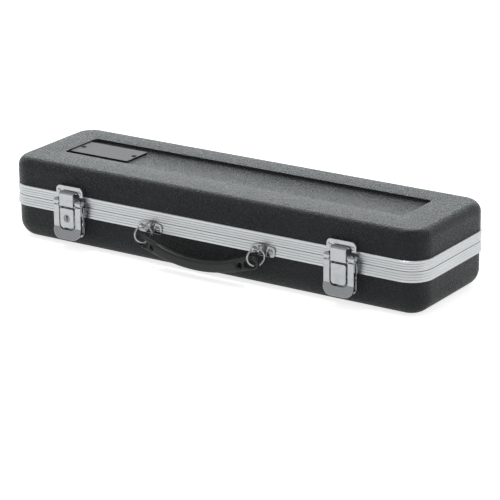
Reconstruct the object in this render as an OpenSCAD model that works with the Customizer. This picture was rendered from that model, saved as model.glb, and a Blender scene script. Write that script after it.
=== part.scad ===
// Flute case: moulded shells, aluminium band, two draw latches, ring handle.
// Origin: centre of the flat underside. +X right, front face towards -Y, +Z up.

/* [Case] */
// Length of the shell, left to right
case_l = 432; // [424:1:440]
// Depth of the shell, front to back
case_d = 118; // [116:1:124]
// Height of the closed case
case_h = 76.2; // [75.6:0.2:78]
// Height of the parting line
parting_z = 41.6; // [41.2:0.1:42]
// Radius of the upright corners
corner_r = 20.5; // [19:0.5:24]
// Radius of the lid's top edge
lid_edge_r = 9.5; // [8:0.5:12]
// Radius of the base's lower edge
base_edge_r = 16; // [14:0.5:17]
// Thickness of the moulded walls
wall = 2.5; // [2:0.1:3]
// How far the base shell stands back from the lid shell
base_inset = 0.7; // [0.5:0.1:1]

/* [Lid recess and nameplate] */
// Length of the sunk panel in the lid
recess_l = 359; // [340:1:362]
// Width of the sunk panel
recess_w = 48.8; // [44:0.2:52]
// Depth of the sunk panel
recess_depth = 2.1; // [1.8:0.1:2.6]
// Length of the nameplate
nameplate_l = 64.2; // [55:0.2:70]
// Width of the nameplate
nameplate_w = 32.4; // [28:0.2:36]
// Height of the nameplate above the panel
nameplate_t = 1.1; // [1:0.1:1.5]

/* [Band] */
// Height of one half of the band
band_h = 9.9; // [9.5:0.1:10.5]
// How far the band's lips stand out from the lid shell
band_proud = 1; // [0.8:0.1:1]
// Fine ribs on each half
band_ribs = 4; // [3:1:7]

/* [Latches] */
// Half the distance between the two latches
latch_x = 143.2; // [130:0.2:150]
// Width of the levers
latch_w = 29.8; // [29.4:0.1:31]
// Width of the claws
claw_w = 15.1; // [13:0.1:15.2]

/* [Handle] */
// Distance between the two handle brackets
handle_span = 118.8; // [118:0.2:120]
// Wire thickness of the rings
ring_wire = 1.9; // [1.6:0.1:2]
// Thickness of the grip's bow, front to back
grip_t = 10.2; // [9:0.2:10.4]
// Height of the grip's bow
grip_h = 10.8; // [10:0.2:11.2]

/* [Hidden] */
$fn = 48;

front = case_d / 2;
eps = 0.05;

// Band sections: u is outwards from the lid shell's face, v is height
parting_gap = 0.6;
lid_band_low = parting_z + parting_gap / 2;
lid_band_top = parting_z + band_h - parting_gap / 2;
base_band_top = parting_z - parting_gap / 2;
base_band_low = parting_z - band_h;
band_web = 2.4;
band_leg = 1.2;
leg_h = 4.6;
flush = 0.25;
rib_groove = 0.3;
lip_round = 0.5;
tongue_h = 1.5;
tongue_out = -1.9;
tongue_in = -2.9;
tongue_gap = 0.35;
base_slot_out = -base_inset;
base_slot_in = -base_inset - wall;

// Liner
plush_t = 1.2;
liner_inset = 4.8;
liner_gap = 0.25;
base_liner_top = 40.4;
lid_liner_low = 42.8;
body_trough_y = -27;
joint_trough_y = 27;
body_trough = [-184, 176];
head_trough = [-188, 42];
foot_trough = [56, 190];
body_trough_r = 18;
body_trough_depth = 24;
joint_trough_r = 15;
joint_trough_depth = 21;
lid_bay_half_w = 15;
lid_bay_depth = 11;
lid_joint_bay_half_w = 13;
lid_joint_bay_depth = 9;
scoop_r = 13;
scoop_depth = 13;
scoop_x = [-110, 0, 110];
foam_joint = 0.1;
foam_joint_x = [-66, 66];

// Recess and nameplate
recess_corner = 4;
recess_x = -1.8;
recess_y = 2.6;
nameplate_gap = 0.4;
nameplate_x = recess_x + (nameplate_l - recess_l) / 2 + nameplate_gap;
nameplate_z = case_h - recess_depth;
nameplate_corner = 1.2;
nameplate_rivet_x = nameplate_l / 2 - 3.6;
nameplate_rivet = [2.6, 0.7];

// Latch: out is measured from the front face of the lid shell
sheet = 0.9;
latch_shift = -1.5;
plate_out = 1.1 + sheet;
plate_w = 27;
plate_low = 12.4;
plate_top = parting_z - 0.4;
plate_corner = 6;
keeper_w = 29.2;
keeper_out = 4.5;
keeper_low = 51.1;
keeper_top = 60;
keeper_corner = 4.6;
keeper_lip = [53.2, 54.5];
keeper_lip_out = 5.2;
shank_r = 1;
shank_short = 0.1;
keeper_rivets_at = [[-11.2, 54.6], [11.2, 54.6]];
keeper_rivet = [2, 0.9];
plate_rivets_at = [[-11.2, 28], [11.2, 28], [0, 16.6]];
plate_rivet = [1.7, 0.7];
pivot = [6, 46];
pivot_r = 1.2;
pin_head = [1.7, 0.5];
pin_from = 7.65;
ear_x = [7.9, 8.8];
ear_low = 34;
ear_reach = 1.3;
ear_r = 2.5;
claw_pivot = [8.4, 43.1];
claw_pin_r = 0.8;
barrel_r = 1.4;
claw_bend = 1.7;
claw_bend_z = 53.5;
claw_slope = 12;
claw_nose_out = 5.55;
lever_front = 9;
lever_low = 11.8;
lever_bend_z = 22.6;
lever_flare = 13;
lever_top = 42.6;
lever_corner = 8;
lever_rim = 2.4;
eye_r = 3;
flange_r = 1.5;
lever_half = latch_w / 2;
window_w = 18;
window_low = 20.2;
window_corner = 4.5;
lock_w = 14.7;
lock_low = 22.2;
lock_top = 40.3;
lock_corner = 3;
lock_wall = 1.2;
lock_out = 9.5;
plug_z = 31.1;
plug_r = 3.5;
plug_l = 5;
plug_sunk = 0.3;
plug_sleeve = 1.4;
key_slot = [1.1, 3.6];
key_round = 0.95;
cam_reach = 4;
cam_r = 1.8;
cam_t = 0.8;

// Clearances
running = 0.05;
tight = 0.02;
pin_over = 0.6;
band_clear = 0.3;
sharp = 0.2;

// Handle
handle_x = 1.4;
strap_w = 1.4;
ring_r = 7.6;
ring_turn = 48;
ring_lean = 1.5;
ring_across = 4.1;
ring_shift = 0.25;
ring_pivot = [5.6, 37.2];
bracket_rivets_at = [[-8, 35.8], [8, 35.8]];
bracket_rivet = [2.8, 1.4];
bracket_top_rivet_at = [3.6, 39];
bracket_top_rivet = [1.2, 0.6];
bracket_corners = [
    [-9.7, 33.6, 2.8], [-9.7, 37.2, 2.8], [-0.5, 39, 2.2],
    [3.6, 39, 2.2], [9.7, 37.2, 2.8], [9.7, 33.6, 2.8]
];
strap_r = 3.5;
strap_t = 0.55;
bow_r = 130;
bow_low = 8.6;
bow_angle = 19.3;
bow_round = 3.2;
grip_out = 9.4;
grip_x = handle_x - 4.2;
pad_out = 10.6;
pad_t = 3.6;
pad_r = 6;
pad_from = [38, 19.4];
pad_to = [59.6, 26.2];
grip_slot = [[53.6, 23.6], [60, 24.9]];
grip_slot_r = 3.2;
grip_hole = [46.2, 21.6];
grip_hole_r = 2.4;

// Hinges
hinge_x = 120;
hinge_w = 34;
hinge_out = 3.3;
hinge_pin_r = 1.3;
knuckle_r = 2.5;
knuckle_mid = 5.8;
knuckle_gap = 0.3;
leaf_h = 9;
leaf_corner = 0.8;
leaf_rivets_x = [-12, 0, 12];
leaf_rivet = [1.8, 0.8];
base_rivet_z = 36;
lid_rivet_z = 47.2;
outer_knuckles = [
    [-hinge_w / 2, -knuckle_mid - knuckle_gap],
    [knuckle_mid + knuckle_gap, hinge_w / 2]
];
inner_knuckle = [-knuckle_mid, knuckle_mid];

black = [0.12, 0.13, 0.13];
aluminium = [0.78, 0.79, 0.8];
foam_grey = [0.2, 0.2, 0.22];
plush_black = [0.1, 0.1, 0.12];
chrome = [0.8, 0.81, 0.82];
steel = [0.6, 0.61, 0.62];

// ---- shared shapes ----

// Half or whole section of a tray with its lower outer edge rounded
module tray_section(left, reach, h, e) {
    intersection() {
        translate([-left, 0]) square([left + reach, h]);
        union() {
            translate([-reach, e]) square([2 * reach, h - e]);
            translate([e - reach, 0]) square([2 * (reach - e), h]);
            for (side = [-1, 1]) translate([side * (reach - e), e]) circle(e);
        }
    }
}

// Solid tray: l by d by h, upright corners r, lower edge e
module tray(l, d, h, r, e) {
    core_x = l - 2 * r;
    core_y = d - 2 * r;
    rotate([90, 0, 90]) linear_extrude(core_x, center = true) tray_section(d / 2, d / 2, h, e);
    for (side = [0, 1]) mirror([side, 0, 0]) {
        translate([core_x / 2, 0, 0])
            rotate([90, 0, 0]) linear_extrude(core_y, center = true) tray_section(0, r, h, e);
        for (end = [0, 1]) mirror([0, end, 0]) translate([core_x / 2, core_y / 2, 0])
            rotate_extrude(angle = 90) tray_section(0, r, h, e);
    }
}

// Tray made smaller by inset all round
module inset_tray(inset, h, e) {
    tray(case_l - 2 * inset, case_d - 2 * inset, h, corner_r - inset, e);
}

module upside_down(top) {
    translate([0, 0, top]) rotate([180, 0, 0]) children();
}

// Sweep of a section (u outwards, v up) right round the case
module round_the_case() {
    core_x = case_l - 2 * corner_r;
    core_y = case_d - 2 * corner_r;
    for (side = [0, 1]) {
        mirror([0, side, 0]) rotate([90, 0, 90]) linear_extrude(core_x, center = true)
            translate([case_d / 2, 0]) children();
        mirror([side, 0, 0]) rotate([90, 0, 0]) linear_extrude(core_y, center = true)
            translate([case_l / 2, 0]) children();
        for (end = [0, 1]) mirror([side, 0, 0]) mirror([0, end, 0])
            translate([core_x / 2, core_y / 2, 0])
                rotate_extrude(angle = 90) translate([corner_r, 0]) children();
    }
}

// Plate outline with separate lower and upper corner radii
module plate_outline(w, low, high, r_low, r_high) {
    translate([-w / 2, low + r_low]) square([w, high - low - r_low - r_high]);
    translate([r_low - w / 2, low]) square([w - 2 * r_low, high - low - r_high]);
    translate([r_high - w / 2, low + r_low]) square([w - 2 * r_high, high - low - r_low]);
    for (side = [-1, 1]) {
        translate([side * (w / 2 - r_low), low + r_low]) circle(r_low);
        translate([side * (w / 2 - r_high), high - r_high]) circle(r_high);
    }
}

// Bar with round ends between two points
module capsule(p, q, r) {
    run = q - p;
    translate(p) rotate(atan2(run[1], run[0])) translate([0, -r]) square([norm(run), 2 * r]);
    for (end = [p, q]) translate(end) circle(r);
}

// Outer straight edge that touches two round corners, each [x, z, r]
function outer_edge(a, b) =
    let (
        run = [b[0] - a[0], b[1] - a[1]],
        turn = atan2(run[1], run[0]) + acos((a[2] - b[2]) / norm(run)),
        normal = [cos(turn), sin(turn)]
    )
    [[a[0], a[1]] + a[2] * normal, [b[0], b[1]] + b[2] * normal];

// Plate with round corners [x, z, r], listed clockwise
module round_plate(corners) {
    count = len(corners);
    polygon([
        for (i = [0:count - 1], edge = outer_edge(corners[i], corners[(i + 1) % count])) edge
    ]);
    for (corner = corners) translate([corner[0], corner[1]]) circle(corner[2]);
}

// Extrudes an XZ outline between two distances out from the front face
module slab(out_a, out_b) {
    translate([0, -front - out_a, 0]) rotate([90, 0, 0]) linear_extrude(out_b - out_a) children();
}

// Extrudes an outline of [out, z] points along X
module along_x(x_a, x_b) {
    translate([x_a, 0, 0]) mirror([0, 1, 0]) rotate([90, 0, 90]) linear_extrude(x_b - x_a)
        translate([front, 0]) children();
}

// Round bar along X through [out, z]
module rod(at, r, x_a, x_b) {
    along_x(x_a, x_b) translate(at) circle(r);
}

// Dome along Z on z = 0; head is [radius, height]
module dome(head) {
    dome_r = (head[0] * head[0] + head[1] * head[1]) / (2 * head[1]);
    rotate_extrude() intersection() {
        square(head);
        translate([0, head[1] - dome_r]) circle(dome_r);
    }
}

// Domed rivet along Z, its head on z = 0 and its shank through the wall below
module domed_rivet(head, above_wall) {
    shank_l = above_wall + wall - shank_short;
    dome(head);
    translate([0, 0, -shank_l]) cylinder(h = shank_l + eps, r = shank_r);
}

// Rivet at [x, z] with its head, [radius, height], on a surface at the given out
module rivet(at, out, head) {
    translate([at[0], -front - out, at[1]]) rotate([90, 0, 0]) domed_rivet(head, out);
}

// ---- shells ----

module base_shell() {
    color(black) difference() {
        inset_tray(base_inset, base_band_top - band_web, base_edge_r);
        translate([0, 0, wall]) inset_tray(base_inset + wall, parting_z, base_edge_r - wall);
    }
}

// Outline of the sunk panel, made larger by grow, extruded up from the given height
module recess_block(grow, low, h) {
    half = recess_w / 2 + grow;
    translate([recess_x, recess_y, low]) linear_extrude(h)
        plate_outline(recess_l + 2 * grow, -half, half, recess_corner + grow, recess_corner + grow);
}

module lid_shell() {
    edge_z = lid_band_low + band_web;
    color(black) difference() {
        union() {
            upside_down(case_h) difference() {
                inset_tray(0, case_h - edge_z, lid_edge_r);
                translate([0, 0, wall]) inset_tray(wall, case_h, lid_edge_r - wall);
            }
            recess_block(wall, case_h - recess_depth - wall, recess_depth + wall / 2);
        }
        recess_block(0, case_h - recess_depth, 2 * recess_depth);
    }
}

// Outer face of a band half, ribbed, from v_a to v_b while u runs from u_a to u_b
function face_u(v, v_a, v_b, u_a, u_b) =
    u_a + (u_b - u_a) * sin(90 * (v - v_a) / (v_b - v_a));
function ribbed_face(v_a, v_b, u_a, u_b) = [
    for (i = [0:band_ribs - 1], part = [0, 0.2, 0.8])
        let (v = v_a + (v_b - v_a) * (i + part) / band_ribs)
        [face_u(v, v_a, v_b, u_a, u_b) - (part == 0 && i > 0 ? rib_groove : 0), v]
];

module lid_band() {
    web_top = lid_band_low + band_web;
    roof = lid_band_low + tongue_h + tongue_gap;
    lip = lid_band_top - lip_round;
    color(aluminium) round_the_case() polygon(concat(
        ribbed_face(lid_band_low, lip, flush, band_proud),
        [
            [band_proud, lip], [band_proud - lip_round, lid_band_top], [0, lid_band_top],
            [0, web_top], [-wall, web_top], [-wall, web_top + leg_h],
            [-wall - band_leg, web_top + leg_h], [-wall - band_leg, lid_band_low],
            [tongue_in - tongue_gap, lid_band_low], [tongue_in - tongue_gap, roof],
            [tongue_out + tongue_gap, roof], [tongue_out + tongue_gap, lid_band_low]
        ]));
}

module base_band() {
    web_low = base_band_top - band_web;
    lip = base_band_low + lip_round;
    leg_in = base_slot_in - band_leg;
    color(aluminium) round_the_case() polygon(concat(
        ribbed_face(base_band_top, lip, flush, band_proud),
        [
            [band_proud, lip], [band_proud - 2 * lip_round, base_band_low],
            [base_slot_out, base_band_low], [base_slot_out, web_low], [base_slot_in, web_low],
            [base_slot_in, web_low - leg_h], [leg_in, web_low - leg_h], [leg_in, base_band_top],
            [tongue_in, base_band_top], [tongue_in, base_band_top + tongue_h],
            [tongue_out, base_band_top + tongue_h], [tongue_out, base_band_top]
        ]));
}

// ---- liner ----

// Round-bottomed trough along X, open towards +Z from z = top
module trough(span, y, r, depth, top, grow) {
    axis_z = top - depth + r;
    translate([span[0] - grow, y, axis_z]) rotate([0, 90, 0])
        cylinder(h = span[1] - span[0] + 2 * grow, r = r + grow);
    if (depth > r) translate([span[0] - grow, y - r - grow, axis_z])
        cube([span[1] - span[0] + 2 * grow, 2 * (r + grow), depth]);
}

module base_troughs(grow) {
    trough(body_trough, body_trough_y, body_trough_r, body_trough_depth, base_liner_top, grow);
    for (span = [head_trough, foot_trough])
        trough(span, joint_trough_y, joint_trough_r, joint_trough_depth, base_liner_top, grow);
    for (x = scoop_x) translate([x, 0, base_liner_top - scoop_depth - grow])
        cylinder(h = 2 * scoop_depth, r = scoop_r + grow);
}

// Flat-roofed bay in the lid, open towards -Z
module lid_bay(span, y, half_w, depth, grow) {
    translate([span[0] - grow, y - half_w - grow, lid_liner_low - depth])
        cube([span[1] - span[0] + 2 * grow, 2 * (half_w + grow), 2 * depth + grow]);
}

module lid_bays(grow) {
    lid_bay(body_trough, body_trough_y, lid_bay_half_w, lid_bay_depth, grow);
    for (span = [head_trough, foot_trough])
        lid_bay(span, joint_trough_y, lid_joint_bay_half_w, lid_joint_bay_depth, grow);
}

module base_foam() {
    foam_low = wall + liner_gap;
    foam_h = base_liner_top - plush_t - foam_low;
    color(foam_grey) difference() {
        translate([0, 0, foam_low]) inset_tray(liner_inset, foam_h, base_edge_r - wall);
        base_troughs(plush_t);
    }
}

module base_plush() {
    foam_top = base_liner_top - plush_t;
    floor_z = base_liner_top - body_trough_depth - plush_t;
    color(plush_black) difference() {
        union() {
            translate([0, 0, foam_top]) linear_extrude(plush_t) liner_outline();
            intersection() {
                base_troughs(plush_t);
                translate([0, 0, floor_z]) linear_extrude(foam_top - floor_z) liner_outline();
            }
        }
        base_troughs(0);
    }
}

module liner_outline() {
    l = case_l - 2 * liner_inset;
    d = case_d - 2 * liner_inset;
    r = corner_r - liner_inset;
    plate_outline(l, -d / 2, d / 2, r, r);
}

// Three blocks laid end to end
module lid_foam() {
    foam_low = lid_liner_low + plush_t;
    foam_top = case_h - recess_depth - wall - liner_gap;
    color(foam_grey) difference() {
        translate([0, 0, foam_low]) linear_extrude(foam_top - foam_low) liner_outline();
        lid_bays(plush_t);
        for (x = foam_joint_x)
            translate([x, 0, case_h / 2]) cube([foam_joint, case_d, case_h], center = true);
    }
}

module lid_plush() {
    foam_low = lid_liner_low + plush_t;
    color(plush_black) difference() {
        union() {
            translate([0, 0, lid_liner_low]) linear_extrude(plush_t) liner_outline();
            intersection() {
                lid_bays(plush_t);
                translate([0, 0, foam_low])
                    linear_extrude(lid_bay_depth + plush_t) liner_outline();
            }
        }
        lid_bays(0);
    }
}

// ---- nameplate ----

module nameplate() {
    half = nameplate_w / 2;
    color(steel) translate([nameplate_x, recess_y, nameplate_z]) linear_extrude(nameplate_t)
        plate_outline(nameplate_l, -half, half, nameplate_corner, nameplate_corner);
}

module nameplate_rivets() {
    color(black) for (side = [-1, 1])
        translate([nameplate_x + side * nameplate_rivet_x, recess_y, nameplate_z + nameplate_t])
            domed_rivet(nameplate_rivet, nameplate_t);
}

// ---- latches (drawn at x = 0, moved to their place) ----

module at_latch(side) {
    translate([latch_shift + side * latch_x, 0, 0]) children();
}

// Skirt that stands a plate off the shell; the opening inside it may pass one end
module skirt(w, out_a, out_b, low, high, r_low, r_high, inner_low, inner_high) {
    slab(out_a, out_b - sheet + eps) difference() {
        plate_outline(w, low, high, r_low, r_high);
        plate_outline(w - 2 * sheet, inner_low, inner_high, r_low, r_high);
    }
}

module latch_ear() {
    ear_front = pivot[0] + ear_reach;
    ear_back = plate_out - sheet;
    along_x(ear_x[0], ear_x[1]) {
        translate([ear_back, ear_low]) square([ear_front - ear_back, plate_top - ear_low]);
        translate([pivot[0] - ear_r, plate_top - eps])
            square([ear_reach + ear_r, pivot[1] - plate_top + eps]);
        translate(pivot) circle(ear_r);
    }
}

module latch_plate() {
    skirt_top = base_band_low - band_clear;
    color(chrome) difference() {
        union() {
            slab(plate_out - sheet, plate_out)
                plate_outline(plate_w, plate_low, plate_top, plate_corner, sheet / 2);
            skirt(plate_w, eps - base_inset, plate_out, plate_low, skirt_top,
                plate_corner, sharp, plate_low + sheet, skirt_top + 1);
            for (side = [0, 1]) mirror([side, 0, 0]) latch_ear();
        }
        rod(pivot, pivot_r + tight, -latch_w, latch_w);
    }
}

module plate_rivets() {
    color(steel) for (at = plate_rivets_at) rivet(at, plate_out, plate_rivet);
}

// Side view of the lever: straight legs, the bow below the bend flared outwards
module lever_profile(depth) {
    flare_out = (lever_bend_z - lever_low) * tan(lever_flare);
    back = lever_front - depth;
    polygon([
        [back, lever_top], [lever_front, lever_top], [lever_front, lever_bend_z],
        [lever_front + flare_out, lever_low], [back + flare_out, lever_low],
        [back, lever_bend_z]
    ]);
}

// Front view of the lever, drawn in by shrink on the outside and round the window
module lever_outline(shrink) {
    difference() {
        plate_outline(latch_w - 2 * shrink, lever_low + shrink, lever_top + shrink,
            lever_corner - shrink, sharp);
        plate_outline(window_w + 2 * shrink, window_low - shrink, lever_top + window_corner + shrink,
            window_corner + shrink, sharp);
    }
}

// Pressed sheet: its front, and the rim folded back round its edges
module lever_sheet() {
    reach = lever_front + lever_low;
    intersection() {
        along_x(-lever_half, lever_half) lever_profile(sheet);
        slab(0, reach) lever_outline(0);
    }
    intersection() {
        along_x(-lever_half, lever_half) lever_profile(lever_rim);
        slab(0, reach) difference() {
            lever_outline(0);
            lever_outline(sheet);
        }
    }
}

// Upper end of a leg, rolled back round the pivot and rounded off from the front
module leg_eye() {
    half = (lever_half - window_w / 2) / 2;
    middle = window_w / 2 + half;
    intersection() {
        along_x(window_w / 2, lever_half) {
            translate(pivot) circle(eye_r);
            translate([pivot[0], lever_top - eps]) square([eye_r, pivot[1] - lever_top + eps]);
        }
        slab(0, 2 * lever_front) capsule([middle, lever_top - half], [middle, pivot[1]], half);
    }
}

// Lug on a leg's inner rim that holds the claw's pin
module claw_lug() {
    along_x(window_w / 2, window_w / 2 + sheet) translate(claw_pivot) circle(flange_r);
}

module lever() {
    color(chrome) difference() {
        union() {
            lever_sheet();
            for (side = [0, 1]) mirror([side, 0, 0]) {
                leg_eye();
                claw_lug();
            }
        }
        rod(pivot, pivot_r + running, -latch_w, latch_w);
        rod(claw_pivot, claw_pin_r + tight, -latch_w / 2, latch_w / 2);
    }
}

module lever_pins() {
    head_x = lever_half + 2 * running;
    color(steel) for (side = [0, 1]) mirror([side, 0, 0]) {
        rod(pivot, pivot_r, pin_from, head_x + eps);
        translate([head_x, -front - pivot[0], pivot[1]]) rotate([0, 90, 0]) dome(pin_head);
    }
}

// Point on the claw's bend: radius from the bend's middle, angle up from the front
function claw_point(r, angle) =
    [claw_pivot[0] + barrel_r - claw_bend + r * cos(angle), claw_bend_z + r * sin(angle)];

// The claw's top slopes up from its bend to the nose
function claw_tip(r) =
    let (edge = claw_point(r, 90 - claw_slope))
    [claw_nose_out, edge[1] + (edge[0] - claw_nose_out) * tan(claw_slope)];

module claw() {
    steps = 6;
    turn = (90 - claw_slope) / steps;
    face = claw_pivot[0] + barrel_r;
    inner_r = claw_bend - sheet;
    color(chrome) difference() {
        along_x(-claw_w / 2, claw_w / 2) {
            translate(claw_pivot) circle(barrel_r);
            polygon(concat(
                [[face, claw_pivot[1]]],
                [for (i = [0:steps]) claw_point(claw_bend, i * turn)],
                [claw_tip(claw_bend), claw_tip(inner_r)],
                [for (i = [0:steps]) claw_point(inner_r, (steps - i) * turn)],
                [[face - sheet, claw_pivot[1]]]
            ));
        }
        rod(claw_pivot, claw_pin_r + running, -claw_w, claw_w);
    }
}

module claw_pin() {
    color(steel) rod(claw_pivot, claw_pin_r, -window_w / 2 - sheet, window_w / 2 + sheet);
}

module keeper() {
    skirt_low = lid_band_top + band_clear;
    color(chrome) {
        slab(keeper_out - sheet, keeper_out)
            plate_outline(keeper_w, keeper_low, keeper_top, sheet / 2, keeper_corner);
        skirt(keeper_w, eps, keeper_out, skirt_low, keeper_top, sharp, keeper_corner,
            skirt_low - 1, keeper_top - sheet);
        slab(keeper_out - eps, keeper_lip_out) translate([-claw_w / 2, keeper_lip[0]])
            square([claw_w, keeper_lip[1] - keeper_lip[0]]);
    }
}

module keeper_rivets() {
    color(steel) for (at = keeper_rivets_at) rivet(at, keeper_out, keeper_rivet);
}

// Raised case in the lever's window, hollow from the back
module window_case() {
    slab(lock_out - lock_wall, lock_out)
        plate_outline(lock_w, lock_low, lock_top, lock_corner, lock_corner / 2);
    slab(plate_out, lock_out - lock_wall + eps) difference() {
        plate_outline(lock_w, lock_low, lock_top, lock_corner, lock_corner / 2);
        plate_outline(lock_w - 2 * lock_wall, lock_low + lock_wall, lock_top - lock_wall,
            lock_corner - lock_wall, sharp);
    }
}

module blank_case() {
    color(chrome) window_case();
}

module lock_case() {
    color(chrome) difference() {
        union() {
            window_case();
            slab(lock_out - plug_l + cam_t, lock_out - eps)
                translate([0, plug_z]) circle(plug_r + plug_sleeve);
        }
        slab(plate_out + eps, lock_out + lock_wall)
            translate([0, plug_z]) circle(plug_r + running);
    }
}

module lock_plug() {
    color(steel) slab(lock_out - plug_l, lock_out - plug_sunk) translate([0, plug_z]) difference() {
        circle(plug_r);
        translate([-key_slot[0] / 2, -key_slot[1] / 2]) square(key_slot);
        translate([0, key_slot[1] / 2]) circle(key_round);
    }
}

module lock_cam() {
    color(steel) slab(lock_out - plug_l - cam_t, lock_out - plug_l)
        capsule([0, plug_z], [0, plug_z - cam_reach], cam_r);
}

// ---- handle ----

// Middle of each strap: side is -1 for the left bracket, 1 for the right
function strap_x(side) = handle_x + side * handle_span / 2;

// Drawn for the left bracket; the right one is its mirror image
module at_strap(side) {
    translate([strap_x(side), 0, 0]) mirror([side > 0 ? 1 : 0, 0, 0]) children();
}

module bracket(side) {
    strap_inner = strap_r - strap_t;
    color(chrome) at_strap(side) {
        slab(plate_out - sheet, plate_out) round_plate(bracket_corners);
        along_x(-strap_w / 2, strap_w / 2) difference() {
            union() {
                translate(ring_pivot) circle(strap_r);
                translate([plate_out - eps, ring_pivot[1] - strap_r])
                    square([ring_pivot[0] - plate_out + eps, 2 * strap_r]);
            }
            translate(ring_pivot) circle(strap_inner);
            translate([0, ring_pivot[1] - strap_inner]) square([ring_pivot[0], 2 * strap_inner]);
        }
    }
}

module bracket_rivets(side) {
    color(steel) at_strap(side) {
        for (at = bracket_rivets_at) rivet(at, plate_out, bracket_rivet);
        rivet(bracket_top_rivet_at, plate_out, bracket_top_rivet);
    }
}

// Round wire ring, threaded through its strap to the right of its top
module ring(side) {
    down = sqrt(ring_r * ring_r - ring_across * ring_across);
    color(chrome) translate([strap_x(side) + ring_shift, -front - ring_pivot[0], ring_pivot[1]])
        rotate([-ring_lean, 0, 0]) rotate([0, 0, ring_turn]) translate([-ring_across, 0, -down])
        rotate([90, 0, 0]) rotate_extrude() translate([ring_r, 0]) circle(ring_wire / 2);
}

module handle_grip() {
    color(black) translate([grip_x, 0, 0]) difference() {
        union() {
            translate([0, -front - grip_out, bow_low + grip_h / 2 + bow_r]) rotate([90, 0, 0])
                rotate([0, 0, -90 - bow_angle]) rotate_extrude(angle = 2 * bow_angle)
                    translate([bow_r, 0]) rotate(90)
                        plate_outline(grip_t, -grip_h / 2, grip_h / 2, bow_round, bow_round);
            for (side = [0, 1]) mirror([side, 0, 0])
                slab(pad_out - pad_t / 2, pad_out + pad_t / 2)
                    capsule(pad_from, pad_to, pad_r);
        }
        for (side = [0, 1]) mirror([side, 0, 0]) slab(0, 2 * grip_out) {
            capsule(grip_slot[0], grip_slot[1], grip_slot_r);
            translate(grip_hole) circle(grip_hole_r);
        }
    }
}

// ---- hinges (drawn at the front face, turned to the back) ----

module at_back(x) {
    translate([x, 0, 0]) rotate([0, 0, 180]) children();
}

module hinge_leaf(low, high, knuckles, cut) {
    axis_at = [hinge_out, parting_z];
    difference() {
        union() {
            difference() {
                slab(plate_out - sheet, plate_out)
                    plate_outline(hinge_w, low, high, leaf_corner, leaf_corner);
                for (span = cut) slab(0, plate_out + 1)
                    translate([span[0], parting_z - knuckle_r - knuckle_gap])
                        square([span[1] - span[0], 2 * (knuckle_r + knuckle_gap)]);
            }
            for (span = knuckles) rod(axis_at, knuckle_r, span[0], span[1]);
        }
        rod(axis_at, hinge_pin_r + running, -hinge_w, hinge_w);
    }
}

module hinge_base_leaf() {
    clear = knuckle_mid + knuckle_gap;
    color(steel) hinge_leaf(base_band_top - leaf_h, parting_z, outer_knuckles, [[-clear, clear]]);
}

module hinge_lid_leaf() {
    color(steel) hinge_leaf(parting_z, lid_band_low + leaf_h, [inner_knuckle],
        [[-hinge_w, -knuckle_mid], [knuckle_mid, hinge_w]]);
}

module hinge_pin() {
    half = hinge_w / 2 + pin_over;
    color(steel) rod([hinge_out, parting_z], hinge_pin_r, -half, half);
}

module hinge_rivets(z) {
    color(steel) for (x = leaf_rivets_x) rivet([x, z], plate_out, leaf_rivet);
}

base_shell();
base_band();
base_foam();
base_plush();
lid_shell();
lid_band();
lid_foam();
lid_plush();
nameplate();
nameplate_rivets();
at_latch(-1) latch_plate();  // left_latch_plate
at_latch(-1) plate_rivets();  // left_plate_rivets
at_latch(-1) lever();  // left_lever
at_latch(-1) lever_pins();  // left_lever_pins
at_latch(-1) claw();  // left_claw
at_latch(-1) claw_pin();  // left_claw_pin
at_latch(-1) keeper();  // left_keeper
at_latch(-1) keeper_rivets();  // left_keeper_rivets
at_latch(1) latch_plate();  // right_latch_plate
at_latch(1) plate_rivets();  // right_plate_rivets
at_latch(1) lever();  // right_lever
at_latch(1) lever_pins();  // right_lever_pins
at_latch(1) claw();  // right_claw
at_latch(1) claw_pin();  // right_claw_pin
at_latch(1) keeper();  // right_keeper
at_latch(1) keeper_rivets();  // right_keeper_rivets
at_latch(-1) lock_case();  // left_lock_case
at_latch(-1) lock_plug();  // left_lock_plug
at_latch(-1) lock_cam();  // left_lock_cam
at_latch(1) blank_case();  // right_blank_case
bracket(-1);  // left_bracket
bracket_rivets(-1);  // left_bracket_rivets
ring(-1);  // left_ring
bracket(1);  // right_bracket
bracket_rivets(1);  // right_bracket_rivets
ring(1);  // right_ring
handle_grip();
at_back(-hinge_x) hinge_base_leaf();  // left_hinge_base_leaf
at_back(-hinge_x) hinge_lid_leaf();  // left_hinge_lid_leaf
at_back(-hinge_x) hinge_pin();  // left_hinge_pin
at_back(-hinge_x) hinge_rivets(base_rivet_z);  // left_hinge_base_rivets
at_back(-hinge_x) hinge_rivets(lid_rivet_z);  // left_hinge_lid_rivets
at_back(hinge_x) hinge_base_leaf();  // right_hinge_base_leaf
at_back(hinge_x) hinge_lid_leaf();  // right_hinge_lid_leaf
at_back(hinge_x) hinge_pin();  // right_hinge_pin
at_back(hinge_x) hinge_rivets(base_rivet_z);  // right_hinge_base_rivets
at_back(hinge_x) hinge_rivets(lid_rivet_z);  // right_hinge_lid_rivets
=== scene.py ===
"""Finishes the flute case round its CAD frame: shells, metals, grip, plush lining and stage."""

import math

import bmesh
import bpy
from mathutils import Euler, Matrix, Vector, noise


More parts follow.
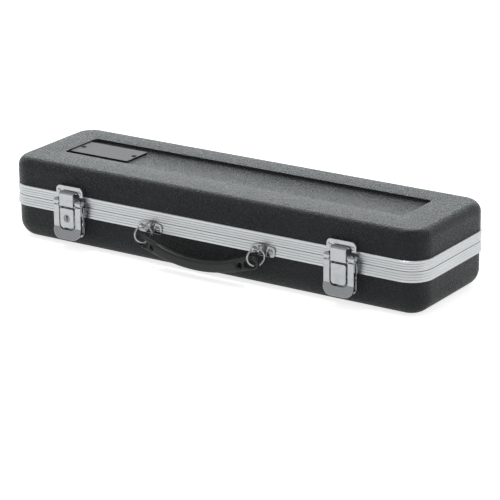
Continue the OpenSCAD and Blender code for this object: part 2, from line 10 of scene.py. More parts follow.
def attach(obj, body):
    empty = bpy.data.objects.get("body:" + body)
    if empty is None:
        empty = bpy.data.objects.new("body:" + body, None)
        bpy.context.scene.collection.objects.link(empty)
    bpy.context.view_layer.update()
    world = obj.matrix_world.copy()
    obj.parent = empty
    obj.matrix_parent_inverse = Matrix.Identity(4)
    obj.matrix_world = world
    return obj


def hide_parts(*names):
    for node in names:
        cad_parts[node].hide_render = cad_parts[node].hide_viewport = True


bl_info = {
    "name": "Flute case finishes",
    "version": (1, 0, 0),
    "blender": (4, 5, 0),
    "location": "View3D > Sidebar > Flute case",
    "description": "Dresses the flute case: shells, band, latches, handle, lining and stage",
    "category": "Object",
}

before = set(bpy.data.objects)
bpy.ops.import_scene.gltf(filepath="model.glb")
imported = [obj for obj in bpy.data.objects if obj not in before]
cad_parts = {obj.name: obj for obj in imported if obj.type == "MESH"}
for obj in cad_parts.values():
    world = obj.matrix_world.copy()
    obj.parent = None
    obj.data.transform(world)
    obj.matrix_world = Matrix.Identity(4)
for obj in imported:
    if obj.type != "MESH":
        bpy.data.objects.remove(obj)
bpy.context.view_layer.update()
MM = 0.001

# The CAD nodes that share a finish; a latch, bracket, ring or hinge has a left and a right one.
BANDS = ("base_band", "lid_band")
LATCH_SHEETS = ("latch_plate", "lever", "claw", "keeper")
LATCH_RIVETS = ("plate_rivets", "lever_pins", "claw_pin", "keeper_rivets")
LOCK_CASES = ("left_lock_case", "right_blank_case")
LOCK_STEEL = ("left_lock_plug", "left_lock_cam")
HANDLE_METAL = ("bracket", "ring")
BRACKET_RIVETS = ("bracket_rivets",)
HINGES = ("hinge_base_leaf", "hinge_lid_leaf", "hinge_pin",
          "hinge_base_rivets", "hinge_lid_rivets")

# Colours that no setting changes.
WHITE = (1.0, 1.0, 1.0)
LOCK_STEEL_COLOUR = (0.3, 0.31, 0.315)
WIRE_COLOUR = (0.46, 0.475, 0.48)
BRACKET_RIVET_COLOUR = (0.36, 0.37, 0.38)
HINGE_COLOUR = (0.58, 0.585, 0.59)
# Near-black painted on the nameplate's sides as painted shade and painted reflection.
PAINTED_SHADE_SIDE_COLOUR = (0.008, 0.008, 0.008)
BARE_RIVET_COLOUR = (0.1, 0.1, 0.1)
SHELL_DUST = (0.1, 0.1, 0.1)
RIVET_DUST = (0.15, 0.15, 0.15)
PLUSH_LINT = (0.1, 0.1, 0.11)

# How the new pieces are shaped.
MERGE_DISTANCE = 0.001 * MM
SMOOTH_BELOW = math.radians(35.0)
EASE_ABOVE = math.radians(50.0)
NAP_RISE = 0.25 * MM
NAP_PATCH = 20 * MM

# The stage.
FLOOR_HALF_WIDTH = 6.0
FLOOR_GLOW_MIRRORED, FLOOR_GLOW_SEEN = 0.3, 0.75
BACKDROP_TOP, CEILING = 0.42, 0.56
BACKDROP_BEHIND, BACKDROP_FRONT = -0.35, 0.0
CASE_MIDDLE = (0.0, 0.0, 0.05)
BACK_LAMP_COLOUR = (0.9, 0.985, 1.0)
SENSOR_WIDTH = 36.0


def both_sides(names):
    """The left and the right node of each name."""
    return [f"{side}_{name}" for side in ("left", "right") for name in names]


# ---- nodes ----

def add(tree, kind, inputs=None, **settings):
    """Adds a node; inputs holds values or sockets by name or index, settings its properties."""
    node = tree.nodes.new(kind)
    for key, value in settings.items():
        setattr(node, key, value)
    for key, value in (inputs or {}).items():
        if isinstance(value, bpy.types.NodeSocket):
            tree.links.new(value, node.inputs[key])
        else:
            node.inputs[key].default_value = value
    return node


def math_node(tree, operation, *values):
    """The result of a Math node on numbers or sockets."""
    return add(tree, "ShaderNodeMath", dict(enumerate(values)), operation=operation).outputs[0]


def spread(tree, value, low, high, to_low, to_high):
    """Maps value from low..high to to_low..to_high and stops at both ends."""
    inputs = {"Value": value, "From Min": low, "From Max": high,
              "To Min": to_low, "To Max": to_high}
    return add(tree, "ShaderNodeMapRange", inputs).outputs["Result"]


def mask(tree, value, none, full):
    """0 where value is at none, 1 where it is at full."""
    return spread(tree, value, none, full, 0.0, 1.0)


def between(tree, share, start, end):
    """From start at share 0 to end at share 1."""
    return spread(tree, share, 0.0, 1.0, start, end)


def tint(tree, share, colour_a, colour_b):
    """Colour a at share 0 and colour b at share 1."""
    inputs = {0: share, 6: colour_a, 7: colour_b}
    return add(tree, "ShaderNodeMix", inputs, data_type="RGBA").outputs[2]


def noise_node(tree, coords, scale, **inputs):
    """Noise from 0 to 1, of that scale in bumps per unit of its coordinates."""
    values = {"Vector": coords, "Scale": scale, **inputs}
    return add(tree, "ShaderNodeTexNoise", values).outputs["Fac"]


def own_coords(tree):
    """The piece's own coordinates, in metres."""
    return add(tree, "ShaderNodeTexCoord").outputs["Object"]


def upward(tree, normal="Normal"):
    """How far a face points up, from -1 to 1."""
    facing = add(tree, "ShaderNodeNewGeometry").outputs[normal]
    return add(tree, "ShaderNodeSeparateXYZ", {0: facing}).outputs["Z"]


# ---- shared effects ----

def new_group(name, inputs, outputs):
    """An empty shader node group; inputs are (name, default), outputs are names."""
    tree = bpy.data.node_groups.new(name, "ShaderNodeTree")
    for label, default in inputs:
        kind = "NodeSocketVector" if isinstance(default, tuple) else "NodeSocketFloat"
        socket = tree.interface.new_socket(label, in_out="INPUT", socket_type=kind)
        socket.default_value = default
    for label in outputs:
        tree.interface.new_socket(label, in_out="OUTPUT", socket_type="NodeSocketFloat")
    given = tree.nodes.new("NodeGroupInput").outputs
    made = tree.nodes.new("NodeGroupOutput").inputs
    return tree, given, made


def pebble_group():
    """Moulded leather-like pebbles, with a tone that tells one clump from the next."""
    tree, given, made = new_group(
        "pebble_grain", [("Pebbles per metre", 1100.0)], ["Height", "Tone"])
    grains_to_a_pebble, clumps_to_a_pebble, grain_height = 2.3, 0.7, 0.6
    pebbles = given["Pebbles per metre"]
    coords = own_coords(tree)
    cells = add(tree, "ShaderNodeTexVoronoi",
                {"Vector": coords, "Scale": pebbles, "Smoothness": 0.35, "Randomness": 1.0},
                feature="SMOOTH_F1").outputs["Distance"]
    fine = noise_node(tree, coords, math_node(tree, "MULTIPLY", pebbles, grains_to_a_pebble),
                      Detail=3.0, Roughness=0.6)
    clumps = noise_node(tree, coords, math_node(tree, "MULTIPLY", pebbles, clumps_to_a_pebble),
                        Detail=4.0, Roughness=0.75)
    bumps = math_node(tree, "MULTIPLY_ADD", fine, grain_height, cells)
    tree.links.new(math_node(tree, "ADD", bumps, clumps), made["Height"])
    # The tone rises with the clumps that also raise the height; the shells and grip use it for
    # painted light on the tops and painted shade in the hollows.
    tree.links.new(mask(tree, clumps, none=0.36, full=0.64), made["Tone"])
    return tree


def drawn_group():
    """Fine parallel lines of an extruded, drawn or brushed metal."""
    tree, given, made = new_group(
        "drawn_lines", [("Lines per metre", (1.0, 1.0, 1.0))], ["Height", "Tone"])
    stretched = add(tree, "ShaderNodeVectorMath",
                    {0: own_coords(tree), 1: given["Lines per metre"]},
                    operation="MULTIPLY").outputs[0]
    lines = noise_node(tree, stretched, 1.0, Detail=4.0, Roughness=0.7)
    tree.links.new(lines, made["Height"])
    tree.links.new(mask(tree, lines, none=0.3, full=0.7), made["Tone"])
    return tree


def rounded_normal(tree, radius):
    """Normals as if every edge were rounded by that radius."""
    return add(tree, "ShaderNodeBevel", {"Radius": radius}, samples=4).outputs[0]


def wear_group():
    """Mask of the edges that hands and tables rub, broken up by noise."""
    tree, given, made = new_group(
        "edge_wear", [("Radius", 0.8 * MM), ("Amount", 0.5), ("Patches per metre", 60.0)],
        ["Mask"])
    rounded = rounded_normal(tree, given["Radius"])
    true_normal = add(tree, "ShaderNodeNewGeometry").outputs["Normal"]
    alike = add(tree, "ShaderNodeVectorMath", {0: rounded, 1: true_normal},
                operation="DOT_PRODUCT").outputs["Value"]
    edge = mask(tree, alike, none=0.99, full=0.80)
    noisy = noise_node(tree, own_coords(tree), given["Patches per metre"], Detail=5.0)
    patchy = mask(tree, noisy, none=0.42, full=0.62)
    rubbed = math_node(tree, "MULTIPLY", edge, patchy)
    tree.links.new(math_node(tree, "MULTIPLY", rubbed, given["Amount"]), made["Mask"])
    return tree


def handling_group():
    """Smudges that dull a surface, and a trace of dust on what faces up."""
    tree, given, made = new_group(
        "handling_marks", [("Patches per metre", 25.0), ("Dust", 0.3)], ["Smudge", "Dust"])
    coords = own_coords(tree)
    smudge = noise_node(tree, coords, given["Patches per metre"], Detail=4.0, Distortion=0.8)
    tree.links.new(mask(tree, smudge, none=0.45, full=0.7), made["Smudge"])
    specks_per_metre = 900.0
    specks = noise_node(tree, coords, specks_per_metre, Detail=2.0)
    lying = math_node(tree, "MULTIPLY", mask(tree, upward(tree), none=0.5, full=1.0),
                      mask(tree, specks, none=0.58, full=0.72))
    tree.links.new(math_node(tree, "MULTIPLY", lying, given["Dust"]), made["Dust"])
    return tree


def nap_group():
    """Brushed plush: fibres, tufts and broad patches where the nap lies another way; the tone is
    paler on raised fibres and on the patches, as painted sheen.
    """
    tree, given, made = new_group(
        "plush_nap", [("Fibres per metre", 2600.0), ("Patches per metre", 16.0)],
        ["Height", "Tone"])
    tufts_per_metre, tuft_height, fibre_tone, patch_tone = 420.0, 0.8, 0.5, 0.7
    coords = own_coords(tree)
    fibres = noise_node(tree, coords, given["Fibres per metre"], Detail=3.0, Roughness=0.7)
    tufts = noise_node(tree, coords, tufts_per_metre, Detail=4.0)
    patches = noise_node(tree, coords, given["Patches per metre"], Detail=3.0, Distortion=1.2)
    tree.links.new(math_node(tree, "MULTIPLY_ADD", tufts, tuft_height, fibres), made["Height"])
    # Painted sheen: the patches where the nap lies another way are only made paler.
    sheen_patches = spread(tree, patches, 0.38, 0.62, 0.0, patch_tone)
    tree.links.new(math_node(tree, "MULTIPLY_ADD", fibres, fibre_tone, sheen_patches), made["Tone"])
    return tree


GROUP_MAKERS = {
    "pebble_grain": pebble_group,
    "drawn_lines": drawn_group,
    "edge_wear": wear_group,
    "handling_marks": handling_group,
    "plush_nap": nap_group,
}


def place_group(tree, name, inputs):
    """Places a shared group in a material, building it the first time."""
    group = bpy.data.node_groups.get(name) or GROUP_MAKERS[name]()
    node = tree.nodes.new("ShaderNodeGroup")
    node.node_tree = group
    for key, value in inputs.items():
        node.inputs[key].default_value = value
    return node.outputs


def relief(tree, height, depth, edge_radius, strength=1.0):
    """Bumps of that depth, in metres, over edges that look rounded."""
    inputs = {"Height": height, "Distance": depth, "Strength": strength,
              "Normal": rounded_normal(tree, edge_radius)}
    return add(tree, "ShaderNodeBump", inputs).outputs["Normal"]


# ---- finishes ----

def start_material(name, **sockets):
    """A material with its Principled shader; sockets sets the shader's plain values."""
    material = bpy.data.materials.new(name)
    material.use_nodes = True
    tree = material.node_tree
    shader = tree.nodes["Principled BSDF"]
    for key, value in sockets.items():
        shader.inputs[key.replace("_", " ")].default_value = value
    return material, tree, shader


def feed(tree, shader, **sockets):
    """Links outputs to the shader's sockets."""
    for key, value in sockets.items():
        tree.links.new(value, shader.inputs[key.replace("_", " ")])


def rgba(colour, factor=1.0):
    """An opaque colour, made darker or lighter by factor."""
    return (*(channel * factor for channel in colour[:3]), 1.0)


def moulded_shell(sizes):
    """Black plastic with pebbles whose tops are glossier than the hollows, painted paler on the
    tops as painted light and darker in the hollows as painted shade.
    """
    material, tree, shader = start_material(
        "moulded_shell", Specular_IOR_Level=0.34, Specular_Tint=(0.88, 0.97, 1.0, 1.0))
    grain = place_group(tree, "pebble_grain", {"Pebbles per metre": 1 / sizes.pebble})
    wear = place_group(tree, "edge_wear", {"Radius": 1.2 * MM, "Amount": 0.2})
    marks = place_group(tree, "handling_marks", {"Patches per metre": 14.0, "Dust": 0.25})
    # The grain's tone follows its raised clumps: painted light on the tops, painted shade in the
    # hollows.
    shaded_hollow = rgba(sizes.shell_colour, 0.3)
    lit_top = rgba(sizes.shell_colour, 1.9)
    worn = rgba(sizes.shell_colour, 4.0)
    plain = tint(tree, grain["Tone"], shaded_hollow, lit_top)
    rubbed = tint(tree, wear["Mask"], plain, worn)
    gloss_of_tops = -0.26
    rough = math_node(tree, "MULTIPLY_ADD", grain["Tone"], gloss_of_tops,
                      between(tree, marks["Smudge"], 0.37, 0.41))
    feed(tree, shader, Base_Color=tint(tree, marks["Dust"], rubbed, rgba(SHELL_DUST)),
         Roughness=rough,
         Normal=relief(tree, grain["Height"], depth=0.8 * MM, edge_radius=0.8 * MM,
                       strength=sizes.pebble_depth))
    return material


def extruded_band(sizes):
    """Satin aluminium with fine lines along its length."""
    material, tree, shader = start_material("extruded_band", Metallic=1.0)
    lines = place_group(tree, "drawn_lines", {"Lines per metre": (1.5, 1.5, 900.0)})
    marks = place_group(tree, "handling_marks", {"Patches per metre": 9.0})
    line = rgba(sizes.band_colour, 0.8)
    dull = rgba(sizes.band_colour, 0.88)
    metal = tint(tree, lines["Tone"], line, rgba(sizes.band_colour))
    roughness_of_lines = 0.1
    rough = math_node(tree, "MULTIPLY_ADD", lines["Tone"], roughness_of_lines,
                      between(tree, marks["Smudge"], 0.24, 0.32))
    feed(tree, shader, Base_Color=tint(tree, marks["Smudge"], metal, dull), Roughness=rough,
         Normal=relief(tree, lines["Height"], depth=0.06 * MM, edge_radius=0.1 * MM, strength=0.5))
    return material


def plated(name, colour, roughness=0.06):
    """Bright plating over drawn steel, with smudges and rubbed edges."""
    material, tree, shader = start_material(name, Metallic=1.0)
    lines = place_group(tree, "drawn_lines", {"Lines per metre": (90.0, 90.0, 90.0)})
    marks = place_group(tree, "handling_marks", {"Patches per metre": 120.0})
    wear = place_group(tree, "edge_wear",
                       {"Radius": 0.3 * MM, "Amount": 0.5, "Patches per metre": 300.0})
    dull = rgba(colour, 0.88)
    worn = rgba(colour, 0.7)
    clean = tint(tree, marks["Smudge"], rgba(colour), dull)
    roughness_of_smudges, roughness_of_edges = 0.1, 0.2
    smudged = between(tree, marks["Smudge"], roughness, roughness + roughness_of_smudges)
    rough = math_node(tree, "MULTIPLY_ADD", wear["Mask"], roughness_of_edges, smudged)
    feed(tree, shader, Base_Color=tint(tree, wear["Mask"], clean, worn), Roughness=rough,
         Normal=relief(tree, lines["Height"], depth=0.12 * MM, edge_radius=0.6 * MM,
                       strength=0.35))
    return material


def brushed_nameplate(sizes):
    """Brushed where it faces up; its sides are painted near-black as painted shade and painted
    reflection.
    """
    material, tree, shader = start_material(
        "brushed_nameplate", Metallic=0.15, Specular_IOR_Level=0.3)
    lines = place_group(tree, "drawn_lines", {"Lines per metre": (8.0, 2600.0, 900.0)})
    wear = place_group(tree, "edge_wear", {"Radius": 0.6 * MM, "Amount": 0.4})
    line = rgba(sizes.nameplate_colour, 0.72)
    bright = rgba(sizes.nameplate_colour, 1.12)
    worn = rgba(sizes.nameplate_colour, 1.3)
    least_upward = 0.5
    on_top = math_node(tree, "GREATER_THAN", upward(tree, "True Normal"), least_upward)
    rubbed = tint(tree, wear["Mask"], tint(tree, lines["Tone"], line, bright), worn)
    # The sides are painted near-black: painted shade and painted reflection of the dark lid.
    feed(tree, shader, Base_Color=tint(tree, on_top, rgba(PAINTED_SHADE_SIDE_COLOUR), rubbed),
         Roughness=between(tree, lines["Tone"], 0.44, 0.58),
         Normal=relief(tree, lines["Height"], depth=0.04 * MM, edge_radius=0.2 * MM, strength=0.6))
    return material


def black_rivet(sizes):
    """Black drive rivets, rubbed at their rims and dusty on top."""
    material, tree, shader = start_material("black_rivet", Specular_IOR_Level=0.04)
    marks = place_group(tree, "handling_marks", {"Patches per metre": 300.0, "Dust": 0.4})
    wear = place_group(tree, "edge_wear", {"Radius": 0.3 * MM, "Amount": 0.5})
    black = rgba(sizes.shell_colour, 0.6)
    worn = tint(tree, wear["Mask"], black, rgba(BARE_RIVET_COLOUR))
    feed(tree, shader, Base_Color=tint(tree, marks["Dust"], worn, rgba(RIVET_DUST)),
         Roughness=between(tree, marks["Smudge"], 0.4, 0.55),
         Normal=relief(tree, marks["Smudge"], depth=0.02 * MM, edge_radius=0.2 * MM))
    return material


def moulded_grip(sizes):
    """Black plastic with a fine grain, painted paler on its tops as painted light and darker in
    its hollows as painted shade, polished where the hand holds it.
    """
    material, tree, shader = start_material("moulded_grip", Specular_IOR_Level=0.5)
    grain = place_group(tree, "pebble_grain", {"Pebbles per metre": 2600.0})
    marks = place_group(tree, "handling_marks", {"Patches per metre": 60.0})
    # Painted shade in the grain's hollows and painted light on its tops; held is the hand's darker
    # polish.
    shaded_hollow = held = rgba(sizes.grip_colour, 0.8)
    lit_top = rgba(sizes.grip_colour, 1.25)
    plain = tint(tree, grain["Tone"], shaded_hollow, lit_top)
    feed(tree, shader, Base_Color=tint(tree, marks["Smudge"], plain, held),
         Roughness=between(tree, marks["Smudge"], 0.42, 0.32),
         Normal=relief(tree, grain["Height"], depth=0.03 * MM, edge_radius=0.4 * MM, strength=0.5))
    return material


def plush(sizes):
    """Short black plush with a sheen, and some lint on it; paler fibre tips and nap patches are
    painted sheen, the darker deep between fibres is painted shade.
    """
    material, tree, shader = start_material(
        "plush_lining", Sheen_Weight=0.35, Sheen_Roughness=0.45,
        Sheen_Tint=(0.6, 0.6, 0.65, 1.0), Specular_IOR_Level=0.1)
    nap = place_group(tree, "plush_nap", {"Fibres per metre": 2600.0})
    marks = place_group(tree, "handling_marks", {"Patches per metre": 30.0, "Dust": 0.5})
    # Painted shade in the deep between fibres, painted sheen on the tips and nap patches.
    shaded_deep = rgba(sizes.plush_colour, 0.55)
    sheen_tips = rgba(sizes.plush_colour, 1.6)
    cloth = tint(tree, nap["Tone"], shaded_deep, sheen_tips)
    feed(tree, shader, Base_Color=tint(tree, marks["Dust"], cloth, rgba(PLUSH_LINT)),
         Roughness=between(tree, nap["Tone"], 0.85, 1.0),
         Normal=relief(tree, nap["Height"], depth=0.6 * MM, edge_radius=0.6 * MM, strength=0.7))
    return material


def dress(names, material):
    """Gives CAD nodes a material in place of the plain one they come with."""
    for name in names:
        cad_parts[name].material_slots[0].material = material


# ---- pieces ----

def merged_copy(names):
    """One closed bmesh of several CAD nodes."""
    bm = bmesh.new()
    for name in names:
        bm.from_mesh(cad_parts[name].data)
    bmesh.ops.remove_doubles(bm, verts=bm.verts, dist=MERGE_DISTANCE)
    bmesh.ops.recalc_face_normals(bm, faces=bm.faces)
    return bm


def new_piece(name, bm):
    """An object of that shape in the scene; the bmesh is used up."""
    mesh = bpy.data.meshes.new(name)
    bm.to_mesh(mesh)
    bm.free()
    piece = bpy.data.objects.new(name, mesh)
    bpy.context.scene.collection.objects.link(piece)
    return piece


def remeshed(name, bm, voxel):
    """A new piece of the shape, skinned again with even faces of about that size."""
    piece = new_piece(name, bm)
    rough_mesh = piece.data
    skin = piece.modifiers.new("skin", "REMESH")
    skin.mode = "VOXEL"
    skin.voxel_size = voxel
    evaluated = piece.evaluated_get(bpy.context.evaluated_depsgraph_get())
    piece.data = bpy.data.meshes.new_from_object(evaluated)
    piece.modifiers.clear()
    bpy.data.meshes.remove(rough_mesh)
    piece.data.name = name
    return piece


def soften(piece, rounds, rise=0.0):
    """Rounds every edge, then lets the surface rise and fall a little."""
    bm = bmesh.new()
    bm.from_mesh(piece.data)
    for _ in range(rounds):
        bmesh.ops.smooth_vert(bm, verts=bm.verts, factor=0.5, use_axis_x=True, use_axis_y=True,
                              use_axis_z=True)
    if rise:
        bm.normal_update()
        for vert in bm.verts:
            vert.co += vert.normal * rise * noise.noise(vert.co / NAP_PATCH)
    for face in bm.faces:
        face.smooth = True
    bm.to_mesh(piece.data)
    bm.free()


def eased_lid(sizes, material):
    """The lid's CAD shape with every sharp edge eased by a small radius."""
    bm = merged_copy(["lid_shell"])
    for face in bm.faces:
        face.smooth = True
    piece = new_piece("moulded_lid", bm)
    piece.data.set_sharp_from_angle(angle=SMOOTH_BELOW)
    piece.data.materials.append(material)
    bevel = piece.modifiers.new("eased", "BEVEL")
    bevel.width = sizes.rim_radius
    bevel.segments = 3
    bevel.limit_method = "ANGLE"
    bevel.angle_limit = EASE_ABOVE
    bevel.harden_normals = True
    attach(piece, "lid")
    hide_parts("lid_shell")


def flowing_grip(sizes, material):
    """The grip in one piece, its bow run smoothly into its flat ends."""
    piece = remeshed("moulded_grip", merged_copy(["handle_grip"]), sizes.grip_voxel)
    soften(piece, sizes.grip_rounds)
    piece.data.materials.append(material)
    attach(piece, "grip")
    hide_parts("handle_grip")


def lining(name, nodes, body, sizes, material):
    """Plush over foam: the CAD block with rolled lips, its nap a little uneven."""
    piece = remeshed(name, merged_copy(nodes), sizes.lining_voxel)
    soften(piece, sizes.lining_rounds, rise=NAP_RISE)
    piece.data.materials.append(material)
    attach(piece, body)
    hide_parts(*nodes)


# ---- stage ----

def seen_directly(tree):
    """1 for camera, mirror and glass rays, 0 for the light that lands on the case."""
    path = add(tree, "ShaderNodeLightPath").outputs
    seen = math_node(tree, "MAXIMUM", path["Is Camera Ray"], path["Is Glossy Ray"])
    return math_node(tree, "MAXIMUM", seen, path["Is Transmission Ray"])


def camera_ray(tree):
    """1 where the camera looks straight at a surface or the world."""
    return add(tree, "ShaderNodeLightPath").outputs["Is Camera Ray"]


def make_floor(stage):
    """A pale floor that whitens where it is seen and still takes the case's shadow."""
    bm = bmesh.new()
    bmesh.ops.create_grid(bm, x_segments=1, y_segments=1, size=FLOOR_HALF_WIDTH)
    floor = new_piece("floor", bm)
    material, tree, shader = start_material(
        "pale_floor", Base_Color=rgba(stage.floor_colour), Roughness=0.9,
        Specular_IOR_Level=0.0)
    strength = between(tree, camera_ray(tree), FLOOR_GLOW_MIRRORED, FLOOR_GLOW_SEEN)
    glow = add(tree, "ShaderNodeEmission", {"Color": rgba(WHITE), "Strength": strength})
    both = add(tree, "ShaderNodeAddShader", {0: shader.outputs[0], 1: glow.outputs[0]})
    chosen = add(tree, "ShaderNodeMixShader",
                 {0: seen_directly(tree), 1: shader.outputs[0], 2: both.outputs[0]})
    tree.links.new(chosen.outputs[0], tree.nodes["Material Output"].inputs["Surface"])
    floor.data.materials.append(material)


def make_world(scene, stage):
    """White where it is seen; mirrored, it is a white backdrop in a dim room."""
    world = bpy.data.worlds.new("even_sky")
    world.use_nodes = True
    scene.world = world
    tree = world.node_tree
    background = tree.nodes["Background"]
    direction = add(tree, "ShaderNodeTexCoord").outputs["Generated"]
    away = add(tree, "ShaderNodeSeparateXYZ", {0: direction}).outputs
    below_ceiling = spread(tree, away["Z"], BACKDROP_TOP, CEILING, 1.0, stage.room)
    behind = spread(tree, away["Y"], BACKDROP_BEHIND, BACKDROP_FRONT, stage.room, 1.0)
    backdrop = math_node(tree, "MINIMUM", below_ceiling, behind)
    mirrored = math_node(tree, "MAXIMUM", backdrop, camera_ray(tree))
    strength = between(tree, seen_directly(tree), stage.sky, mirrored)
    background.inputs["Color"].default_value = rgba(WHITE)
    tree.links.new(strength, background.inputs["Strength"])


def area_lamp(name, place, size, power, colour=WHITE):
    """A soft rectangular lamp that points at the case."""
    data = bpy.data.lights.new(name, "AREA")
    data.shape = "RECTANGLE"
    data.size, data.size_y = size
    data.energy = power
    data.color = colour
    lamp = bpy.data.objects.new(name, data)
    lamp.location = place
    towards_case = Vector(CASE_MIDDLE) - Vector(place)
    lamp.rotation_euler = towards_case.to_track_quat("-Z", "Y").to_euler()
    bpy.context.scene.collection.objects.link(lamp)


def make_lamps(stage):
    """One lamp overhead, one on the right and a wide one behind."""
    area_lamp("key_lamp", place=(-0.3, -0.5, 2.4), size=(0.6, 0.6), power=stage.key_power)
    area_lamp("fill_lamp", place=(2.4, 0.4, 1.2), size=(1.2, 1.2), power=stage.fill_power)
    area_lamp("back_lamp", place=(-1.58, 2.36, 1.0), size=(2.6, 1.6), power=stage.back_power,
              colour=BACK_LAMP_COLOUR)


def make_camera(scene, stage):
    """A camera that looks at the aim from the stage's azimuth, elevation and distance."""
    data = bpy.data.cameras.new("camera")
    data.sensor_width = SENSOR_WIDTH
    data.lens = stage.lens
    data.clip_end = 50.0
    camera = bpy.data.objects.new("camera", data)
    tilt = Euler((math.pi / 2 - stage.elevation, 0.0, stage.azimuth)).to_matrix()
    turned = tilt @ Matrix.Rotation(stage.roll, 3, "Z")
    place = Vector(stage.aim) + turned @ Vector((0.0, 0.0, stage.distance))
    camera.matrix_world = Matrix.Translation(place) @ turned.to_4x4()
    scene.collection.objects.link(camera)
    scene.camera = camera


# ---- settings ----

class FluteCaseSizes(bpy.types.PropertyGroup):
    """Sizes and colours of the finishes."""

    shell_colour: bpy.props.FloatVectorProperty(
        name="Shells", description="Colour of the moulded shells", subtype="COLOR",
        size=3, min=0.0, max=1.0, default=(0.008, 0.009, 0.0094))
    pebble: bpy.props.FloatProperty(
        name="Pebble", description="Width of one pebble of the shells' grain",
        subtype="DISTANCE", unit="LENGTH", default=1.1 * MM, min=0.2 * MM, max=3 * MM)
    pebble_depth: bpy.props.FloatProperty(
        name="Grain strength", description="How strongly the shells' grain shows",
        default=0.8, min=0.0, max=1.0)
    rim_radius: bpy.props.FloatProperty(
        name="Rim radius", description="Radius that eases the lid's sharp edges",
        subtype="DISTANCE", unit="LENGTH", default=0.9 * MM, min=0.1 * MM, max=1 * MM)
    band_colour: bpy.props.FloatVectorProperty(
        name="Band", description="Colour of the extruded band", subtype="COLOR",
        size=3, min=0.0, max=1.0, default=(0.76, 0.79, 0.8))
    chrome_colour: bpy.props.FloatVectorProperty(
        name="Chrome", description="Colour of the plated latches and their rivets",
        subtype="COLOR", size=3, min=0.0, max=1.0, default=(0.57, 0.59, 0.6))
    nameplate_colour: bpy.props.FloatVectorProperty(
        name="Nameplate", description="Colour of the bare brushed nameplate",
        subtype="COLOR", size=3, min=0.0, max=1.0, default=(0.18, 0.188, 0.192))
    grip_colour: bpy.props.FloatVectorProperty(
        name="Grip", description="Colour of the moulded grip", subtype="COLOR",
        size=3, min=0.0, max=1.0, default=(0.016, 0.017, 0.0175))
    grip_voxel: bpy.props.FloatProperty(
        name="Grip face size", description="Face size of the grip's smooth skin",
        subtype="DISTANCE", unit="LENGTH", default=0.5 * MM, min=0.3 * MM, max=2 * MM)
    grip_rounds: bpy.props.IntProperty(
        name="Grip roundness", description="Smoothing rounds that run the bow into the ends",
        default=18, min=0, max=60)
    plush_colour: bpy.props.FloatVectorProperty(
        name="Plush", description="Colour of the lining", subtype="COLOR",
        size=3, min=0.0, max=1.0, default=(0.022, 0.022, 0.026))
    lining_voxel: bpy.props.FloatProperty(
        name="Lining face size", description="Face size of the lining's skin",
        subtype="DISTANCE", unit="LENGTH", default=1.5 * MM, min=1 * MM, max=6 * MM)
    lining_rounds: bpy.props.IntProperty(
        name="Lining roundness", description="Smoothing rounds that roll the lining's lips",
        default=5, min=0, max=40)


class FluteCaseStage(bpy.types.PropertyGroup):
    """Camera, floor and lamps."""

    azimuth: bpy.props.FloatProperty(
        name="Azimuth", description="Camera's turn to the right of the front",
        subtype="ANGLE", unit="ROTATION", default=math.radians(33.789))
    elevation: bpy.props.FloatProperty(
        name="Elevation", description="Camera's height above the horizon",
        subtype="ANGLE", unit="ROTATION", default=math.radians(18.928))
    roll: bpy.props.FloatProperty(
        name="Roll", description="Camera's turn about its own axis",
        subtype="ANGLE", unit="ROTATION", default=math.radians(-0.688))
    distance: bpy.props.FloatProperty(
        name="Distance", description="Camera's distance from what it aims at",
        subtype="DISTANCE", unit="LENGTH", default=2.3135, min=0.1)
    aim: bpy.props.FloatVectorProperty(
        name="Aim", description="Point at the middle of the picture",
        subtype="XYZ", unit="LENGTH", size=3, default=(0.00711, 0.0, 0.00858))
    lens: bpy.props.FloatProperty(
        name="Lens", description="Focal length on a 36 mm sensor, in millimetres",
        default=186.88, min=10.0)
    floor_colour: bpy.props.FloatVectorProperty(
        name="Floor", description="Colour of the plain floor", subtype="COLOR",
        size=3, min=0.0, max=1.0, default=(0.86, 0.86, 0.86))
    key_power: bpy.props.FloatProperty(
        name="Key lamp", description="Power of the soft lamp overhead", unit="POWER",
        default=14.0, min=0.0)
    fill_power: bpy.props.FloatProperty(
        name="Fill lamp", description="Power of the soft lamp on the right", unit="POWER",
        default=2.2, min=0.0)
    back_power: bpy.props.FloatProperty(
        name="Back lamp", description="Power of the wide low lamp behind", unit="POWER",
        default=19.0, min=0.0)
    sky: bpy.props.FloatProperty(
        name="Sky", description="Strength of the even light from all round",
        default=0.5, min=0.0)
    room: bpy.props.FloatProperty(
        name="Room", description="Strength of the mirrored room; the backdrop has 1",
        default=0.42, min=0.0, max=1.0)


# ---- operators ----

class FLUTECASE_OT_shells(bpy.types.Operator):
    """Gives both shells their moulded pebble grain and eases the lid's edges"""

    bl_idname = "flutecase.shells"
    bl_label = "Shells"
    bl_options = {"REGISTER", "UNDO"}

    def execute(self, context):
        sizes = context.scene.flute_case_sizes
        plastic = moulded_shell(sizes)
        dress(["base_shell"], plastic)
        eased_lid(sizes, plastic)
        return {"FINISHED"}


class FLUTECASE_OT_bands(bpy.types.Operator):
    """Gives the band its satin extruded finish"""

    bl_idname = "flutecase.bands"
    bl_label = "Bands"
    bl_options = {"REGISTER", "UNDO"}

    def execute(self, context):
        dress(BANDS, extruded_band(context.scene.flute_case_sizes))
        return {"FINISHED"}


class FLUTECASE_OT_nameplate(bpy.types.Operator):
    """Brushes the bare nameplate and blackens its rivets"""

    bl_idname = "flutecase.nameplate"
    bl_label = "Nameplate"
    bl_options = {"REGISTER", "UNDO"}

    def execute(self, context):
        sizes = context.scene.flute_case_sizes
        dress(["nameplate"], brushed_nameplate(sizes))
        dress(["nameplate_rivets"], black_rivet(sizes))
        return {"FINISHED"}


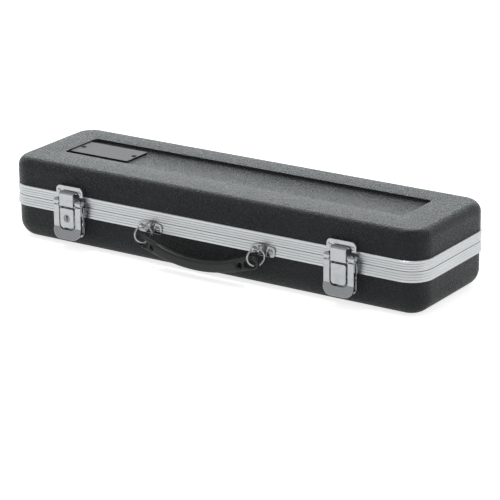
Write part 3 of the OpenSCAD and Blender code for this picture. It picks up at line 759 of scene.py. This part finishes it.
class FLUTECASE_OT_latches(bpy.types.Operator):
    """Chromes the latches, their keepers and lock cases, and dulls the lock's plug and cam"""

    bl_idname = "flutecase.latches"
    bl_label = "Latches"
    bl_options = {"REGISTER", "UNDO"}

    def execute(self, context):
        chrome = context.scene.flute_case_sizes.chrome_colour
        dress([*both_sides(LATCH_SHEETS), *LOCK_CASES], plated("chrome_plate", chrome))
        dress(both_sides(LATCH_RIVETS), plated("polished_rivet", chrome, roughness=0.12))
        dress(LOCK_STEEL, plated("dark_steel", LOCK_STEEL_COLOUR, roughness=0.2))
        return {"FINISHED"}


class FLUTECASE_OT_handle(bpy.types.Operator):
    """Moulds the grip in one flowing piece and chromes its rings and brackets"""

    bl_idname = "flutecase.handle"
    bl_label = "Handle"
    bl_options = {"REGISTER", "UNDO"}

    def execute(self, context):
        sizes = context.scene.flute_case_sizes
        dress(both_sides(HANDLE_METAL), plated("chrome_wire", WIRE_COLOUR))
        dress(both_sides(BRACKET_RIVETS),
              plated("bracket_rivet", BRACKET_RIVET_COLOUR, roughness=0.1))
        flowing_grip(sizes, moulded_grip(sizes))
        return {"FINISHED"}


class FLUTECASE_OT_hinges(bpy.types.Operator):
    """Plates the two hinges at the back"""

    bl_idname = "flutecase.hinges"
    bl_label = "Hinges"
    bl_options = {"REGISTER", "UNDO"}

    def execute(self, context):
        dress(both_sides(HINGES), plated("plated_hinge", HINGE_COLOUR, roughness=0.2))
        return {"FINISHED"}


class FLUTECASE_OT_lining(bpy.types.Operator):
    """Lines base and lid with plush over foam"""

    bl_idname = "flutecase.lining"
    bl_label = "Lining"
    bl_options = {"REGISTER", "UNDO"}

    def execute(self, context):
        sizes = context.scene.flute_case_sizes
        nap = plush(sizes)
        lining("base_lining", ["base_foam", "base_plush"], "base", sizes, nap)
        lining("lid_lining", ["lid_foam", "lid_plush"], "lid", sizes, nap)
        return {"FINISHED"}


class FLUTECASE_OT_stage(bpy.types.Operator):
    """Sets the floor, the world, the lamps and the camera"""

    bl_idname = "flutecase.stage"
    bl_label = "Stage"
    bl_options = {"REGISTER", "UNDO"}

    def execute(self, context):
        scene = context.scene
        stage = scene.flute_case_stage
        make_floor(stage)
        make_world(scene, stage)
        make_lamps(stage)
        make_camera(scene, stage)
        scene.view_settings.view_transform = "Standard"
        return {"FINISHED"}


OPERATORS = (
    FLUTECASE_OT_shells,
    FLUTECASE_OT_bands,
    FLUTECASE_OT_nameplate,
    FLUTECASE_OT_latches,
    FLUTECASE_OT_handle,
    FLUTECASE_OT_hinges,
    FLUTECASE_OT_lining,
    FLUTECASE_OT_stage,
)


class FLUTECASE_PT_panel(bpy.types.Panel):
    """Lists the case's settings and steps"""

    bl_idname = "FLUTECASE_PT_panel"
    bl_label = "Flute case"
    bl_space_type = "VIEW_3D"
    bl_region_type = "UI"
    bl_category = "Flute case"

    def draw(self, context):
        for settings in (context.scene.flute_case_sizes, context.scene.flute_case_stage):
            box = self.layout.box()
            for key in type(settings).__annotations__:
                box.prop(settings, key)
        for operator in OPERATORS:
            self.layout.operator(operator.bl_idname)


CLASSES = (FluteCaseSizes, FluteCaseStage, *OPERATORS, FLUTECASE_PT_panel)


def register():
    for cls in CLASSES:
        bpy.utils.register_class(cls)
    bpy.types.Scene.flute_case_sizes = bpy.props.PointerProperty(type=FluteCaseSizes)
    bpy.types.Scene.flute_case_stage = bpy.props.PointerProperty(type=FluteCaseStage)


def unregister():
    del bpy.types.Scene.flute_case_stage
    del bpy.types.Scene.flute_case_sizes
    for cls in reversed(CLASSES):
        bpy.utils.unregister_class(cls)


def main():
    register()
    bpy.ops.flutecase.shells()
    bpy.ops.flutecase.bands()
    bpy.ops.flutecase.nameplate()
    bpy.ops.flutecase.latches()
    bpy.ops.flutecase.handle()
    bpy.ops.flutecase.hinges()
    bpy.ops.flutecase.lining()
    bpy.ops.flutecase.stage()


if __name__ == "__main__":
    main()
